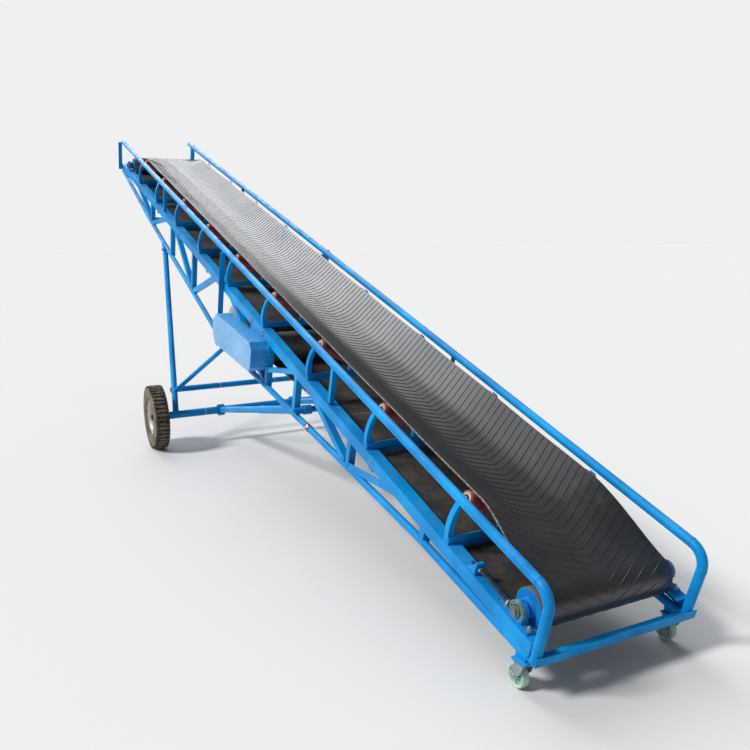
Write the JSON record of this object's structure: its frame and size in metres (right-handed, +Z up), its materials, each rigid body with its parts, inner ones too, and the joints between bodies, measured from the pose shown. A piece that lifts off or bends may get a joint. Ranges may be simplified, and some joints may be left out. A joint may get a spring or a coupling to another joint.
{
  "type": "portable belt conveyor",
  "caption": "Wheeled inclined belt conveyor with a troughed ribbed belt on a truss frame, tubular handrails, a raisable wheeled stand and tail casters.",
  "frame": {"origin": "on the floor, under the middle of the machine's length and width", "axes": "+X horizontally from the tail to the raised head, +Y towards the drive guard side, +Z up"},
  "size_m": [9.7231, 2.277, 3.483],
  "materials": {
    "painted_blue": "semi-gloss, scuffed",
    "bearing_paint": "semi-gloss, chipped",
    "guard_paint": "semi-gloss, scuffed",
    "motor_paint": "dusty",
    "worn_tube": "worn",
    "idler_red": "dusty",
    "pulley_steel": "dull",
    "belt_rubber": "satin",
    "tyre_rubber": "dusty",
    "rim_paint": "dusty silver",
    "caster_steel": "zinc plated",
    "caster_nylon": "satin"
  },
  "bodies": {
    "frame": {"stringers": "painted_blue", "tail_crossbar": "painted_blue", "lower_chords": "painted_blue", "web_posts": "painted_blue", "web_diagonals": "painted_blue", "bed_ties": "painted_blue", "chord_ties": "painted_blue", "handrails": "painted_blue", "rail_posts": "painted_blue", "idler_crossbars": "painted_blue", "idler_arms": "painted_blue", "centre_rollers": "idler_red", "wing_rollers": "idler_red", "belt_carrying_run": "belt_rubber", "belt_return_run": "belt_rubber", "return_rollers": "idler_red", "roller_hangers": "painted_blue", "tail_pulley": "pulley_steel", "head_pulley": "pulley_steel", "tail_bearings": "bearing_paint", "head_bearings": "bearing_paint", "take_ups": "bearing_paint", "drive_plates": "painted_blue", "drive_drum": "pulley_steel", "bend_roller": "idler_red", "sheaves": "pulley_steel", "drive_guard": "guard_paint", "motor": "motor_paint", "motor_mount": "painted_blue", "hinge_lugs": "painted_blue", "arm_pivot_tube": "painted_blue", "caster_brackets": "painted_blue", "caster_plates": "caster_steel"},
    "stand": {"legs": "painted_blue", "axle_beam": "painted_blue", "cross_tube": "painted_blue", "stays": "painted_blue"},
    "arm_sleeves": {"arm_sleeves": "painted_blue"},
    "arm_tubes": {"arm_tubes": "worn_tube"},
    "wheel_left": {"tyre_left": "tyre_rubber", "rim_left": "rim_paint"},
    "wheel_right": {"tyre_right": "tyre_rubber", "rim_right": "rim_paint"},
    "caster_fork_left": {"caster_fork_left": "caster_steel"},
    "caster_fork_right": {"caster_fork_right": "caster_steel"},
    "caster_wheel_left": {"caster_wheel_left": "caster_nylon"},
    "caster_wheel_right": {"caster_wheel_right": "caster_nylon"}
  },
  "joints": [
    {"name": "stand_raise", "type": "hinge", "parent": "frame", "child": "stand", "pos_m": [2.39505, 0, 1.95783], "axis": [0, -1, 0], "range_deg": [0, 7]},
    {"name": "arm_swing", "type": "hinge", "parent": "frame", "child": "arm_sleeves", "pos_m": [-1.84984, 0, 0.79433], "axis": [0, -1, 0], "range_deg": [-3.63, 0]},
    {"name": "arm_slide", "type": "slide", "parent": "arm_sleeves", "child": "arm_tubes", "axis": [0.9814, 0, -0.192], "range_m": [0, 0.2531]},
    {"name": "wheel_left_spin", "type": "hinge", "parent": "stand", "child": "wheel_left", "pos_m": [0.56494, 1.066, 0.322], "axis": [0, 1, 0], "continuous": true},
    {"name": "caster_left_swivel", "type": "hinge", "parent": "frame", "child": "caster_fork_left", "pos_m": [-4.67306, 0.48, 0.165], "axis": [0, 0, 1], "continuous": true},
    {"name": "caster_left_roll", "type": "hinge", "parent": "caster_fork_left", "child": "caster_wheel_left", "pos_m": [-4.62806, 0.48, 0.0625], "axis": [0, 1, 0], "continuous": true},
    {"name": "wheel_right_spin", "type": "hinge", "parent": "stand", "child": "wheel_right", "pos_m": [0.56494, -1.066, 0.322], "axis": [0, 1, 0], "continuous": true},
    {"name": "caster_right_swivel", "type": "hinge", "parent": "frame", "child": "caster_fork_right", "pos_m": [-4.67306, -0.48, 0.165], "axis": [0, 0, 1], "continuous": true},
    {"name": "caster_right_roll", "type": "hinge", "parent": "caster_fork_right", "child": "caster_wheel_right", "pos_m": [-4.62806, -0.48, 0.0625], "axis": [0, 1, 0], "continuous": true}
  ],
  "couplings": [
    {"joint": "arm_swing", "follows": "stand_raise", "ratio": -0.51757},
    {"joint": "arm_slide", "follows": "stand_raise", "m_per_rad": 2.068}
  ]
}
